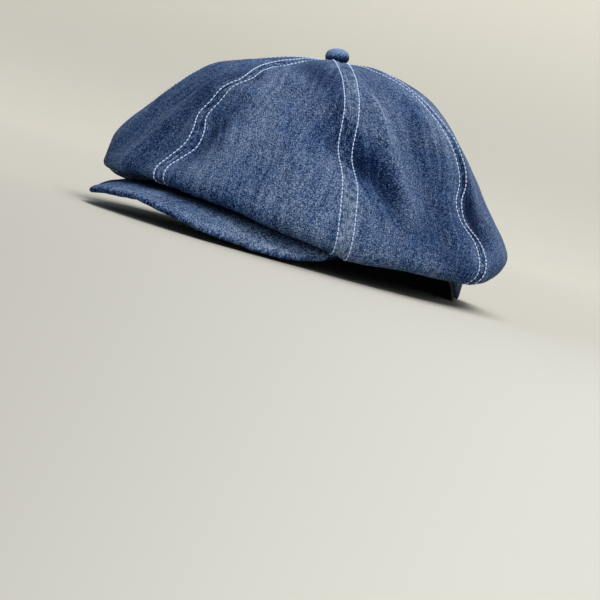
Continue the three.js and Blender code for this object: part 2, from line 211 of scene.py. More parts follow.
FOLD_MEAN_LENGTH = 180.0
FOLD_MEAN_RADIUS = 100.0
FOLD_STEEPNESS = 1.6
FOLD_END_REACH = 1.6  # a fold runs out past its ends over this many half widths
# Partly wear and partly painted shade: the folds' valleys are darkened where shade would lie, and their
# ridges paled.
WEAR_AND_PAINTED_SHADE_PER_FOLD = 0.075  # ridges are paler and valleys darker, in tone a millimetre

# The peak's outer edge from the middle to one end, with its height on the wearer's left and right.
PEAK_EDGE_COLUMNS = ("share", "side", "y", "left_z", "right_z")
PEAK_EDGE = (
    (0, 0, -148, 11, 11),
    (0.15, 25, -146, 7.6, 8.4),
    (0.3, 46, -137, 4, 7),
    (0.45, 62, -121.5, 2.8, 6.6),
    (0.6, 75.5, -103, 2.8, 9.5),
    (0.75, 83.5, -83, 7.5, 13),
    (0.88, 84, -62, 13, 17),
    (1, 81.5, -43, 18, 18),
)

# Unevenness of washed cloth: height and size of the bumps, their shift, and the shift from panel to panel.
RIPPLE_COLUMNS = ("height", "width", "length", "shift", "panel_shift_x", "panel_shift_y")
RIPPLES = (
    (0.55, 21, 26, 4.3, 9.1, 0),
    (0.26, 9, 13, 0, 5.3, 0),
    (0.1, 4, 5, 0, 0, 7.7),
)

NOISE_SEED = 11
NOISE_SIZE = 64
NOISE_TABLE = np.random.RandomState(NOISE_SEED).rand(NOISE_SIZE, NOISE_SIZE) * 2 - 1


# Small tools for curves, noise and vectors


def smooth(x):
    x = np.clip(x, 0.0, 1.0)
    return x * x * (3 - 2 * x)


def bell(x):
    return np.exp(-np.square(x))


def lerp(a, b, share):
    return a + (b - a) * share


def read_curve(positions, values, x):
    """A smooth curve through values at rising positions, held at its ends, read at every x."""
    p = np.asarray(positions, float)
    v = np.asarray(values, float)
    x = np.clip(np.asarray(x, float), p[0], p[-1])
    before = np.maximum(np.arange(len(p)) - 1, 0)
    after = np.minimum(np.arange(len(p)) + 1, len(p) - 1)
    slope = (v[after] - v[before]) / (p[after] - p[before])
    i = np.clip(np.searchsorted(p, x, side="right") - 1, 0, len(p) - 2)
    h = p[i + 1] - p[i]
    s = (x - p[i]) / h
    s2, s3 = s * s, s * s * s
    start = (2 * s3 - 3 * s2 + 1) * v[i] + (s3 - 2 * s2 + s) * h * slope[i]
    end = (3 * s2 - 2 * s3) * v[i + 1] + (s3 - s2) * h * slope[i + 1]
    return start + end


def read_columns(table, names, x):
    """The columns of a table by name, each a smooth curve over the first column, read at every x."""
    return {name: read_curve(table[:, 0], table[:, i], x) for i, name in enumerate(names)}


def cubic_weights(f):
    """Weights of the four neighbours for a smooth reading between grid points."""
    f2, f3 = f * f, f * f * f
    return (
        -0.5 * f3 + f2 - 0.5 * f,
        1.5 * f3 - 2.5 * f2 + 1,
        -1.5 * f3 + 2 * f2 + 0.5 * f,
        0.5 * f3 - 0.5 * f2,
    )


def lattice_noise(x, y):
    """Smooth noise from -1 to 1 over a plane, one bump per unit."""
    xi, yi = np.floor(x).astype(int), np.floor(y).astype(int)
    wx, wy = cubic_weights(x - xi), cubic_weights(y - yi)
    total = 0.0
    for a in range(4):
        for b in range(4):
            value = NOISE_TABLE[(xi + a - 1) % NOISE_SIZE, (yi + b - 1) % NOISE_SIZE]
            total = total + wx[a] * wy[b] * value
    return total


def unit(v):
    return v / np.maximum(np.linalg.norm(v, axis=-1, keepdims=True), 1e-9)


# The crown's surface


def rim_height(y):
    return RIM_LIFT * smooth((RIM_LIFT_START - y) / (RIM_LIFT_START - RIM_LIFT_END))


def band_radius(azimuth):
    """Radius from the crown's axis to the band's outer face."""
    a = np.radians(azimuth)
    dx, dy = np.sin(a) / BAND_HALF_WIDTH, -np.cos(a) / BAND_HALF_LENGTH
    offset = AXIS_Y / BAND_HALF_LENGTH
    qa, qb = dx * dx + dy * dy, 2 * dy * offset
    return (-qb + np.sqrt(qb * qb - 4 * qa * (offset * offset - 1))) / (2 * qa)


def section_controls(azimuth):
    """Points (radius, height) that each section runs through, shaped (azimuths, points, 2)."""
    table = np.array(SECTIONS, float)
    full_turn = np.zeros(len(SECTION_COLUMNS))
    full_turn[0] = 360
    wrapped = np.concatenate((table - full_turn, table, table + full_turn))
    column = read_columns(wrapped, SECTION_COLUMNS, azimuth)
    band = band_radius(azimuth)
    seam_z = CROWN_SEAM_HEIGHT + CROWN_SEAM_RISE * rim_height(AXIS_Y - band * np.cos(np.radians(azimuth)))
    belly_r, belly_z, low_r, low_z = (column[name] for name in ("belly_r", "belly_z", "low_r", "low_z"))
    shoulder_z = TOP_HEIGHT - SHOULDER_DROP + SHOULDER_SHARE * (column["z50"] - SHOULDER_LEVEL)
    hem_z = low_z + HEM_BULGE_PLACE * (belly_z - low_z)
    underside_r = np.maximum(band + UNDERSIDE_CLEARANCE, low_r - UNDERSIDE_REACH)
    underside_z = np.maximum((low_z + seam_z) / 2 + 0.5, low_z + 1)
    points = (
        (TIP_RADIUS, TOP_HEIGHT),
        (SHOULDER_RADIUS, shoulder_z),
        (50, column["z50"]),
        (80, column["z80"]),
        (column["r58"], 58),
        (column["r40"], 40),
        (belly_r, belly_z),
        ((belly_r + low_r) / 2 + HEM_BULGE, hem_z),
        (low_r, low_z),
        (underside_r, underside_z),
        (band + 0.5, seam_z),
    )
    return np.stack([np.stack(np.broadcast_arrays(r, z, azimuth)[:2], -1) for r, z in points], 1)


def through_points(points, cuts=16):
    """Centripetal Catmull-Rom curves through the points, cut finely."""
    step = np.sqrt(np.linalg.norm(np.diff(points, axis=1), axis=-1, keepdims=True))
    speed = np.diff(points, axis=1) / step
    tangent = np.concatenate(
        (
            speed[:, :1],
            (speed[:, :-1] * step[:, 1:] + speed[:, 1:] * step[:, :-1]) / (step[:, 1:] + step[:, :-1]),
            speed[:, -1:],
        ),
        axis=1,
    )
    s = np.linspace(0, 1, cuts, endpoint=False)[None, :, None]
    spans = []
    for i in range(points.shape[1] - 1):
        p0, p1, h = points[:, i, None], points[:, i + 1, None], step[:, i, None]
        m0, m1 = tangent[:, i, None] * h, tangent[:, i + 1, None] * h
        start = (2 * s**3 - 3 * s**2 + 1) * p0 + (s**3 - 2 * s**2 + s) * m0
        spans.append(start + (3 * s**2 - 2 * s**3) * p1 + (s**3 - s**2) * m1)
    spans.append(points[:, -1:])
    return np.concatenate(spans, axis=1)


GRID_AZIMUTHS = 180
GRID_SHARES = 180


def make_section_grid():
    """Sections at even azimuths, cut at even shares of their length."""
    azimuth = np.arange(GRID_AZIMUTHS) * 360.0 / GRID_AZIMUTHS - 180
    curves = through_points(section_controls(azimuth))
    lengths = np.cumsum(np.linalg.norm(np.diff(curves, axis=1), axis=-1), axis=1)
    lengths = np.concatenate((np.zeros((GRID_AZIMUTHS, 1)), lengths), axis=1)
    shares = np.linspace(0, 1, GRID_SHARES + 1)
    rows = [
        np.stack([np.interp(shares * length[-1], length, curve[:, k]) for k in (0, 1)], -1)
        for curve, length in zip(curves, lengths)
    ]
    return np.array(rows), lengths[:, -1]


SECTION_GRID, SECTION_LENGTHS = make_section_grid()


def section_point(azimuth, share):
    """(radius, height) of the plain crown."""
    azimuth, share = np.broadcast_arrays(azimuth, share)
    a = (azimuth + 180.0) % 360.0 * GRID_AZIMUTHS / 360.0
    s = np.clip(share, 0, 1) * GRID_SHARES
    ai = np.floor(a).astype(int)
    si = np.minimum(np.floor(s).astype(int), GRID_SHARES - 1)
    wa, ws = cubic_weights(a - ai), cubic_weights(s - si)
    total = 0.0
    for i in range(4):
        for j in range(4):
            row = (ai + i - 1) % GRID_AZIMUTHS
            column = np.clip(si + j - 1, 0, GRID_SHARES)
            total = total + (wa[i] * ws[j])[..., None] * SECTION_GRID[row, column]
    return total


def section_length(azimuth):
    a = np.arange(-GRID_AZIMUTHS, 2 * GRID_AZIMUTHS) * 360.0 / GRID_AZIMUTHS - 180
    return np.interp(azimuth, a, np.tile(SECTION_LENGTHS, 3))


def plain_crown(azimuth, share):
    """The crown before its folds and fullness."""
    point = section_point(azimuth, share)
    radius, height = point[..., 0], point[..., 1]
    lean = 1 - smooth(radius / LEAN_REACH)
    a = np.radians(np.broadcast_to(azimuth, radius.shape))
    x = radius * np.sin(a) + TOP_LEAN[0] * lean
    y = AXIS_Y - radius * np.cos(a) + TOP_LEAN[1] * lean
    return np.stack((x, y, height), -1)


def crown_normal(azimuth, share):
    share_step, azimuth_step = 0.004, 0.5
    s = np.clip(share, share_step, 1 - share_step)
    along = plain_crown(azimuth, s + share_step) - plain_crown(azimuth, s - share_step)
    round_it = plain_crown(azimuth + azimuth_step, s) - plain_crown(azimuth - azimuth_step, s)
    return unit(np.cross(along, round_it))


def fold_sum(table, azimuth, share):
    """Sum of long soft bumps from a table; distances are taken on the crown's own surface."""
    total = 0.0
    for row in table:
        fold = dict(zip(FOLD_COLUMNS, row))
        turn = (azimuth - fold["azimuth_1"] + 180) % 360 - 180
        px = np.radians(turn) * FOLD_MEAN_RADIUS
        py = (share - fold["share_1"]) * FOLD_MEAN_LENGTH
        dx = math.radians(fold["azimuth_2"] - fold["azimuth_1"]) * FOLD_MEAN_RADIUS
        dy = (fold["share_2"] - fold["share_1"]) * FOLD_MEAN_LENGTH
        length = math.hypot(dx, dy)
        k = (px * dx + py * dy) / length**2
        across = (px * dy - py * dx) / length / fold["half_width"]
        past = np.maximum(np.maximum(-k, k - 1), 0) * length / (fold["half_width"] * FOLD_END_REACH)
        total = total + fold["height"] * np.exp(-FOLD_STEEPNESS * (across**2 + past**2))
    return total


def seam_azimuth(index, share):
    seam = SEAMS[index % PANEL_COUNT]
    turns = index // PANEL_COUNT
    return seam["azimuth"] + 360 * turns + read_curve(SEAM_SHARES, seam["stray"], share)


def seam_relief(distance, along):
    """Height of the sewn strip: allowances under it, a groove on the seam and the pull of the stitches."""
    strip = STRIP_LIFT * (1 - smooth((distance - STRIP_HALF_WIDTH) / STRIP_FALL))
    groove = -GROOVE_DEPTH * bell(distance / GROOVE_HALF_WIDTH)
    pull = 0.75 + 0.25 * np.cos(2 * np.pi * along / STITCH_PITCH)
    rows = -ROW_DEPTH * bell((distance - STITCH_OFFSET) / ROW_HALF_WIDTH) * pull
    pucker = PUCKER_HEIGHT * lattice_noise(along / PUCKER_LENGTH, 3.7) * bell(distance / PUCKER_REACH)
    return strip + groove + rows + pucker


def strip_shade(index, across, distance):
    """Change of tone along the seam that is nearest, between its two rows of stitches."""
    nearest = (SEAMS[i % PANEL_COUNT]["azimuth"] for i in (index, index + 1))
    left, right = (STRIP_SHADES.get(azimuth, 0.0) for azimuth in nearest)
    inside = 1 - smooth((distance - STRIP_SHADE_HALF_WIDTH) / STRIP_SHADE_FALL)
    return np.where(across < 0.5, left, right) * inside


def cloth_ripple(index, x, y):
    """Small unevenness of washed cloth, in millimetres."""
    total = 0.0
    for row in RIPPLES:
        ripple = dict(zip(RIPPLE_COLUMNS, row))
        noise_x = x / ripple["width"] + ripple["panel_shift_x"] * index
        noise_y = y / ripple["length"] + ripple["shift"] + ripple["panel_shift_y"] * index
        total = total + ripple["height"] * lattice_noise(noise_x, noise_y)
    return total


def panel_surface(index, across, share):
    """Outer points, normals and cloth coordinates of a panel; across runs 0 to 1 between its seams."""
    across, share = np.broadcast_arrays(across, share)
    left, right = seam_azimuth(index, share), seam_azimuth(index + 1, share)
    azimuth = lerp(left, right, across)
    middle = (left + right) / 2
    width = np.radians(right - left) * section_point(middle, share)[..., 0]
    length = section_length(middle)
    x, y = (across - 0.5) * width, share * length
    distance = np.minimum(across, 1 - across) * width
    from_middle = 2 * across - 1
    swell = smooth(share / FULLNESS_START) * smooth((1 - share) / FULLNESS_END)
    folds = fold_sum(FOLDS, azimuth, share)
    plain = swell * (PANEL_FULLNESS * (1 - from_middle**4) - SEAM_SINK + folds)
    past_tip = smooth((share - 0.02) / 0.1)
    off_seam = smooth(distance / 8)
    fine = past_tip * (cloth_ripple(index, x, y) * off_seam + seam_relief(distance, y))
    normal = crown_normal(azimuth, share)
    point = plain_crown(azimuth, share) + normal * (plain + fine)[..., None]
    # Wear and painted shade in the folds' valleys, painted light and shade at the listed places, and the
    # seam strips' change of tone.
    fading_and_painted_shade = WEAR_AND_PAINTED_SHADE_PER_FOLD * folds + fold_sum(PAINTED_LIGHT_AND_SHADE, azimuth, share)
    fading_and_painted_shade = fading_and_painted_shade + strip_shade(index, across, distance)
    return {
        "point": point,
        "normal": normal,
        "cloth": np.stack((x, y, np.full_like(x, index * PANEL_PATTERN_STEP)), -1),
        "distance": distance,
        "width": width,
        "wear_and_painted_shade": swell * fading_and_painted_shade,
    }


# The peak's surface


def peak_middle(round_it, out):
    """Middle surface of the peak: round_it runs from its right end, -1, to its left, 1; out to its edge."""
    round_it, out = np.broadcast_arrays(np.asarray(round_it, float), np.asarray(out, float))
    share = np.abs(round_it)
    root_angle = np.radians(PEAK_ROOT_REACH) * round_it
    root = np.stack(
        (
            (BAND_HALF_WIDTH + PEAK_STAND_OFF) * np.sin(root_angle),
            -(BAND_HALF_LENGTH + PEAK_STAND_OFF) * np.cos(root_angle),
            lerp(PEAK_ROOT_FRONT, PEAK_ROOT_END, smooth(share)),
        ),
        -1,
    )
    column = read_columns(np.array(PEAK_EDGE, float), PEAK_EDGE_COLUMNS, share)
    left_share = smooth(0.5 + round_it / (2 * PEAK_SIDES_MEET))
    edge_z = lerp(column["right_z"], column["left_z"], left_share)
    edge = np.stack((np.sign(round_it) * column["side"], column["y"], edge_z), -1)
    point = lerp(root, edge, out[..., None])
    point[..., 2] = root[..., 2] + (edge_z - root[..., 2]) * out**PEAK_CURL
    return point


def peak_normal(round_it, out):
    step = 0.01
    r, o = np.clip(round_it, step - 1, 1 - step), np.clip(out, step, 1 - step)
    across = peak_middle(r + step, o) - peak_middle(r - step, o)
    outwards = peak_middle(r, o + step) - peak_middle(r, o - step)
    return unit(np.cross(outwards, across))


# Meshes


def new_mesh(name, points, faces, body="root"):
    """A Blender object from points in millimetres about the band's centre."""
    mesh = bpy.data.meshes.new(name)
    placed = (np.asarray(points, float) - FOOTPRINT_MIDDLE) * MM
    mesh.from_pydata(placed.tolist(), [], faces)
    mesh.update()
    obj = bpy.data.objects.new(name, mesh)
    bpy.context.scene.collection.objects.link(obj)
    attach(obj, body)
    return obj


def set_attribute(obj, name, values):
    values = np.asarray(values, np.float32)
    kind, field = ("FLOAT_VECTOR", "vector") if values.ndim == 2 else ("FLOAT", "value")
    attribute = obj.data.attributes.new(name, kind, "POINT")
    attribute.data.foreach_set(field, values.ravel())


def shell(name, outer, inner, materials, ring=False):
    """A closed shell between two grids of points (rows, columns, 3); the inner takes the last material."""
    rows, columns = outer.shape[:2]
    count = rows * columns
    grid = np.arange(count).reshape(rows, columns)
    if ring:
        grid = np.concatenate((grid, grid[:, :1]), axis=1)

    def quads(a, b, c, d):
        return np.stack((a.ravel(), b.ravel(), c.ravel(), d.ravel()), -1)

    top = quads(grid[:-1, :-1], grid[1:, :-1], grid[1:, 1:], grid[:-1, 1:])
    bottom = quads(grid[:-1, :-1], grid[:-1, 1:], grid[1:, 1:], grid[1:, :-1]) + count
    edges = [
        quads(grid[0, :-1], grid[0, 1:], grid[0, 1:] + count, grid[0, :-1] + count),
        quads(grid[-1, :-1], grid[-1, :-1] + count, grid[-1, 1:] + count, grid[-1, 1:]),
    ]
    if not ring:
        edges.append(quads(grid[:-1, 0], grid[:-1, 0] + count, grid[1:, 0] + count, grid[1:, 0]))
        edges.append(quads(grid[:-1, -1], grid[1:, -1], grid[1:, -1] + count, grid[:-1, -1] + count))
    faces = np.concatenate([top, bottom] + edges)
    points = np.concatenate((outer.reshape(-1, 3), inner.reshape(-1, 3)))
    obj = new_mesh(name, points, faces.tolist())
    for material in materials:
        obj.data.materials.append(material)
    index = np.zeros(len(faces), np.int32)
    index[len(top) : len(top) + len(bottom)] = len(materials) - 1
    obj.data.polygons.foreach_set("material_index", index)
    is_smooth = np.ones(len(faces), bool)
    is_smooth[len(top) + len(bottom) :] = False
    obj.data.polygons.foreach_set("use_smooth", is_smooth)
    return obj


def both_faces(values):
    """Attribute values for a shell whose two faces carry the same ones."""
    flat = values.reshape(-1, values.shape[-1]) if values.ndim == 3 else values.ravel()
    return np.concatenate((flat, flat))


# Camera; the backdrop's tones are laid out from it too

CAMERA_AZIMUTH = 40.0
CAMERA_ELEVATION = 2.3
CAMERA_ROLL = 16.0
CAMERA_DISTANCE = 1000.0
FOCAL_PIXELS = 1700.0
PICTURE = 600.0
BAND_CENTRE_PIXEL = (307.0, 259.5)  # where the middle of the band, on the floor, stands in the picture
SENSOR = 36.0


# Materials

PRINCIPLED_INPUTS = {"sheen": "Sheen Weight", "specular": "Specular IOR Level"}


class Nodes:
    """Short calls for building a node tree."""

    def __init__(self, name):
        self.material = bpy.data.materials.new(name)
        self.material.use_nodes = True
        self.tree = self.material.node_tree
        self.tree.nodes.clear()

    def add(self, kind, **values):
        node = self.tree.nodes.new(kind)
        for key, value in values.items():
            setattr(node, key, value)
        return node

    def link(self, source, target):
        if isinstance(source, bpy.types.NodeSocket):
            self.tree.links.new(source, target)
        else:
            target.default_value = source

    def math(self, operation, a, b=0.0, c=0.0):
        node = self.add("ShaderNodeMath", operation=operation)
        for socket, value in zip(node.inputs, (a, b, c)):
            self.link(value, socket)
        return node.outputs[0]

    def ramp(self, value, low, high, from_value=0.0, to_value=1.0):
        """A smooth change between two values as the input goes from low to high."""
        node = self.add("ShaderNodeMapRange", interpolation_type="SMOOTHSTEP")
        for socket, number in zip(node.inputs, (value, low, high, from_value, to_value)):
            self.link(number, socket)
        return node.outputs[0]

    def mix(self, share, a, b):
        node = self.add("ShaderNodeMix", data_type="RGBA")
        for index, value in ((0, share), (6, a), (7, b)):
            self.link(value, node.inputs[index])
        return node.outputs[2]

    def attribute(self, name, output="Fac"):
        return self.add("ShaderNodeAttribute", attribute_name=name).outputs[output]

    def stretch(self, vector, scale):
        node = self.add("ShaderNodeMapping")
        self.link(vector, node.inputs["Vector"])
        node.inputs["Scale"].default_value = scale
        return node.outputs[0]

    def noise(self, vector, detail=2.0, roughness=0.5):
        node = self.add("ShaderNodeTexNoise")
        self.link(vector, node.inputs["Vector"])
        for name, value in (("Scale", 1.0), ("Detail", detail), ("Roughness", roughness)):
            node.inputs[name].default_value = value
        return node.outputs["Fac"]

    def cells(self, x, y, width, length):
        """A random value for each cell of this size."""
        place = self.add("ShaderNodeCombineXYZ")
        self.link(self.math("FLOOR", self.math("DIVIDE", x, width)), place.inputs[0])
        self.link(self.math("FLOOR", self.math("DIVIDE", y, length)), place.inputs[1])
        node = self.add("ShaderNodeTexWhiteNoise")
        self.link(place.outputs[0], node.inputs["Vector"])
        return node.outputs["Value"]

    def bump(self, height, distance, strength=1.0, normal=None):
        node = self.add("ShaderNodeBump")
        self.link(height, node.inputs["Height"])
        node.inputs["Distance"].default_value = distance
        node.inputs["Strength"].default_value = strength
        if normal is not None:
            self.link(normal, node.inputs["Normal"])
        return node.outputs[0]

    def finish(self, colour, roughness, normal=None, **uniform):
        shader = self.add("ShaderNodeBsdfPrincipled")
        self.link(colour, shader.inputs["Base Color"])
        self.link(roughness, shader.inputs["Roughness"])
        if normal is not None:
            self.link(normal, shader.inputs["Normal"])
        for key, name in PRINCIPLED_INPUTS.items():
            if key in uniform:
                shader.inputs[name].default_value = uniform[key]
        output = self.add("ShaderNodeOutputMaterial")
        self.tree.links.new(shader.outputs[0], output.inputs["Surface"])
        return self.material


def srgb(red, green, blue):
    """A colour given as 0 to 255 on screen, as the renderer wants it."""
    channels = [c / 255 for c in (red, green, blue)]
    return tuple(c / 12.92 if c <= 0.04045 else ((c + 0.055) / 1.055) ** 2.4 for c in channels) + (1.0,)


# Twill
TWILL_PITCH = 1.15  # millimetres from rib to rib
TWILL_ANGLE = math.radians(62)
WARP_PITCH = 0.5
WEFT_PITCH = 0.45
DUST = srgb(90, 92, 110)  # the greyer blue of dusty places
DUST_SHARE = 0.22
RIB_GAIN = 0.07
RIB_WANDER = 9.0  # how far the ribs stray from straight lines
CELL_GAIN = 0.45  # how much each thread crossing differs from the next
CELL_WANDER = 1.5
ROPE_GAIN = 1.7  # light and dark along a seam, where the cloth is roped by the stitches
ROPE_MIDDLE = 0.48

# Layers of the denim's colour: bumps a millimetre across and along the warp, detail, roughness and gain.
DENIM_LAYERS = (
    (1.9, 1.9, 2, 0.6, 1.8),  # flecks of weft between the warp threads
    (0.5, 0.035, 3, 0.6, 0.7),  # slubs along the warp
    (1.6, 0.12, 2, 0.6, 0.45),  # single uneven warp threads
    (0.05, 0.7, 2, 0.6, 0.4),  # uneven weft
    (0.22, 0.022, 2, 0.5, 0.55),  # broad streaks along the warp
    (0.05, 0.03, 2, 0.5, 0.25),  # clouds from washing
)


def denim(name, tones, seams=True, wear_and_painted_shade=1.0, grain=1.0):
    """Indigo twill: ribs, thread crossings, pale flecks, slubs, streaks, worn ridges and roped seams, with
    the painted light and shade that the mesh carries.
    """
    deep, middle, pale = tones
    n = Nodes(name)
    cloth = n.attribute("cloth", "Vector")
    wander = n.noise(n.stretch(cloth, (0.35, 0.12, 1)), detail=2)
    parts = n.add("ShaderNodeSeparateXYZ")
    n.link(cloth, parts.inputs[0])
    x, y = parts.outputs[0], parts.outputs[1]
    across = n.math("MULTIPLY", x, math.sin(TWILL_ANGLE))
    along = n.math("MULTIPLY", y, -math.cos(TWILL_ANGLE))
    diagonal = n.math("MULTIPLY", n.math("ADD", across, along), 2 * math.pi / TWILL_PITCH)
    rib = n.math("SINE", n.math("MULTIPLY_ADD", wander, RIB_WANDER, diagonal))
    tone = n.math("MULTIPLY_ADD", rib, RIB_GAIN * grain, 0.5)
    # The mesh's wear and painted light and shade shift the tone, by the gain given.
    tone = n.math("MULTIPLY_ADD", n.attribute("wear_and_painted_shade"), wear_and_painted_shade, tone)
    crossing = n.cells(n.math("MULTIPLY_ADD", wander, CELL_WANDER, x), y, WARP_PITCH, WEFT_PITCH)
    tone = n.math("MULTIPLY_ADD", n.math("SUBTRACT", crossing, 0.5), 2 * CELL_GAIN * grain, tone)
    layers = []
    for across_scale, along_scale, detail, roughness, gain in DENIM_LAYERS:
        layer = n.noise(n.stretch(cloth, (across_scale, along_scale, 1)), detail, roughness)
        tone = n.math("ADD", tone, n.math("MULTIPLY", n.math("SUBTRACT", layer, 0.5), gain * grain))
        layers.append(layer)
    if seams:
        distance = n.attribute("seam")
        rope = n.noise(n.stretch(cloth, (0.5, 0.32, 1)), detail=2)
        strip = n.ramp(distance, 3.2, 4.8, ROPE_GAIN, 0.0)
        tone = n.math("MULTIPLY_ADD", strip, n.math("SUBTRACT", rope, ROPE_MIDDLE), tone)
        near_groove = n.ramp(distance, 0.35, 1.0, 1.0, 0.0)
        out_of_groove = n.ramp(distance, 0.0, 0.3, -0.6, 1.0)
        edge = n.math("MULTIPLY", near_groove, out_of_groove)
        tone = n.math("MULTIPLY_ADD", edge, n.math("MULTIPLY", layers[0], 0.6), tone)
    body = n.mix(n.ramp(layers[-1], 0.4, 0.65), middle, n.mix(DUST_SHARE, middle, DUST))
    colour = n.mix(n.ramp(tone, -0.05, 0.5), deep, body)
    colour = n.mix(n.ramp(tone, 0.5, 1.2), colour, pale)

    height = n.math("MULTIPLY_ADD", layers[0], 0.5, n.math("MULTIPLY", rib, 0.15))
    normal = n.bump(height, 0.3 * MM, 0.6)
    if seams:
        folds = n.noise(n.stretch(cloth, (0.16, 0.42, 1)), detail=1)
        near_seam = n.math("MULTIPLY", folds, n.ramp(distance, 3.0, 9.0, 1.0, 0.0))
        normal = n.bump(near_seam, 0.9 * MM, 0.6, normal)
    return n.finish(colour, 0.92, normal, specular=0.06)


def thread():
    n = Nodes("topstitch_thread")
    cloth = n.attribute("cloth", "Vector")
    twist = n.noise(n.stretch(cloth, (6, 3, 1)), detail=2)
    colour = n.mix(twist, srgb(180, 202, 232), srgb(224, 238, 255))
    return n.finish(colour, 0.7, n.bump(twist, 0.15 * MM), specular=0.3)


def dark_cotton():
    n = Nodes("band_cloth")
    cloth = n.attribute("cloth", "Vector")
    weave = n.noise(n.stretch(cloth, (1.4, 2.6, 1)), detail=3, roughness=0.7)
    blotch = n.noise(n.stretch(cloth, (0.08, 0.12, 1)), detail=2)
    colour = n.mix(weave, srgb(24, 25, 32), srgb(58, 60, 70))
    colour = n.mix(n.math("MULTIPLY", blotch, 0.5), colour, srgb(36, 38, 46))
    return n.finish(colour, 0.9, n.bump(weave, 0.3 * MM), sheen=0.15)


def paper(tones):
    """A sheet with a left and a right tone each for the near floor, the far floor and the wall; the near
    floor's darker left is painted shade.
    """
    n = Nodes("backdrop_paper")
    parts = n.add("ShaderNodeSeparateXYZ")
    n.link(n.add("ShaderNodeTexCoord").outputs["Object"], parts.inputs[0])
    x, y, z = parts.outputs
    view = math.radians(CAMERA_AZIMUTH)
    aside = n.math("MULTIPLY_ADD", x, math.cos(view), n.math("MULTIPLY", y, math.sin(view)))
    away = n.math("MULTIPLY_ADD", x, -math.sin(view), n.math("MULTIPLY", y, math.cos(view)))
    bearing = n.math("DIVIDE", aside, n.math("ADD", away, CAMERA_DISTANCE * MM))
    # The near floor's left tone is darker as painted shade.
    near, far, wall = (n.mix(n.ramp(bearing, -0.25, 0.25), left, right) for left, right in tones)
    floor = n.mix(n.ramp(away, -0.6, 0.2), near, far)
    return n.finish(n.mix(n.ramp(z, 0.15, 1.15), floor, wall), 0.95, specular=0.1)


# Left and right tones of the near floor, the far floor and the wall; the near floor's darker left is
# painted shade
BACKDROP_WITH_PAINTED_SHADE = (
    (srgb(162, 159, 151), srgb(190, 188, 179)),
    (srgb(172, 168, 159), srgb(178, 175, 166)),
    (srgb(237, 231, 218), srgb(234, 229, 216)),
)

# Deep, middle and pale tones of the denim
INDIGO = (srgb(5, 19, 47), srgb(52, 79, 121), srgb(132, 147, 168))
WORN_INDIGO = (srgb(30, 46, 74), srgb(118, 146, 186), srgb(150, 174, 206))
REVERSE = (srgb(96, 112, 138), srgb(150, 164, 184), srgb(200, 208, 216))

DENIM = denim("denim", INDIGO)
DENIM_PEAK = denim("peak_denim", INDIGO, seams=False)
DENIM_BUTTON = denim("button_denim", WORN_INDIGO, seams=False, grain=0.35)
DENIM_BACK = denim("denim_reverse", REVERSE, wear_and_painted_shade=0.0)
THREAD = thread()
BAND_CLOTH = dark_cotton()


# Pieces

PANEL_ROWS = 190
UPPER_ROWS = 0.6  # share of the rows above the hem, where they lie further apart
UPPER_LENGTH = 0.72  # share of the length that those rows cover
SEAM_COLUMNS = (0, 0.35, 0.8, 1.4, 2.2, 3.0, 3.5, 4.0, 4.5, 5.2, 6.2, 7.6, 9.4)  # distances from a seam
PANEL_MIDDLE_COLUMNS = 44
NARROW_PANEL = 26.0  # a panel narrower than this has its columns drawn in


def panel_columns(width):
    """Places across a panel, close together beside its seams and drawn in where the panel is narrow."""
    scale = np.minimum(1.0, width / NARROW_PANEL)[:, None]
    beside = np.array(SEAM_COLUMNS)[None, :] * scale / width[:, None]
    steps = np.linspace(0, 1, PANEL_MIDDLE_COLUMNS + 1)[None, 1:-1]
    middle = lerp(beside[:, -1:], 1 - beside[:, -1:], steps)
    return np.concatenate((beside, middle, 1 - beside[:, ::-1]), axis=1)


def crown_panel(index):
    row = np.linspace(0, 1, PANEL_ROWS + 1)
    upper = row / UPPER_ROWS * UPPER_LENGTH
    lower = 1 - (1 - row) / (1 - UPPER_ROWS) * (1 - UPPER_LENGTH)
    share = np.where(row < UPPER_ROWS, upper, lower)
    width = panel_surface(index, 0.5, share)["width"]
    across = panel_columns(width)
    surface = panel_surface(index, across, share[:, None])
    off_allowance = smooth((surface["distance"] - ALLOWANCE_WIDTH) / ALLOWANCE_FALL)
    thickness = PANEL_THICKNESS + ALLOWANCE_THICKNESS * (1 - off_allowance)
    inner = surface["point"] - surface["normal"] * thickness[..., None]
    name = f"crown_panel_{index + 1}"
    obj = shell(f"{name}_cloth", surface["point"], inner, (DENIM, DENIM_BACK))
    x, y = surface["cloth"][..., 0], surface["cloth"][..., 1]
    fading_and_painted_shade = 0.07 * lattice_noise(x / 34 + 3.1 * index, y / 40 + 1.7)
    set_attribute(obj, "cloth", both_faces(surface["cloth"]))
    set_attribute(obj, "seam", both_faces(surface["distance"]))
    set_attribute(obj, "wear_and_painted_shade", both_faces(surface["wear_and_painted_shade"] + fading_and_painted_shade))
    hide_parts(name)


CAPSULE_SIDES = 6

# Rings of a stitch: place along it and share of the thread's radius.
CAPSULE_RINGS = (
    (0.0, 0.25),
    (0.06, 0.75),
    (0.22, 1.0),
    (0.5, 1.0),
    (0.78, 1.0),
    (0.94, 0.75),
    (1.0, 0.25),
)


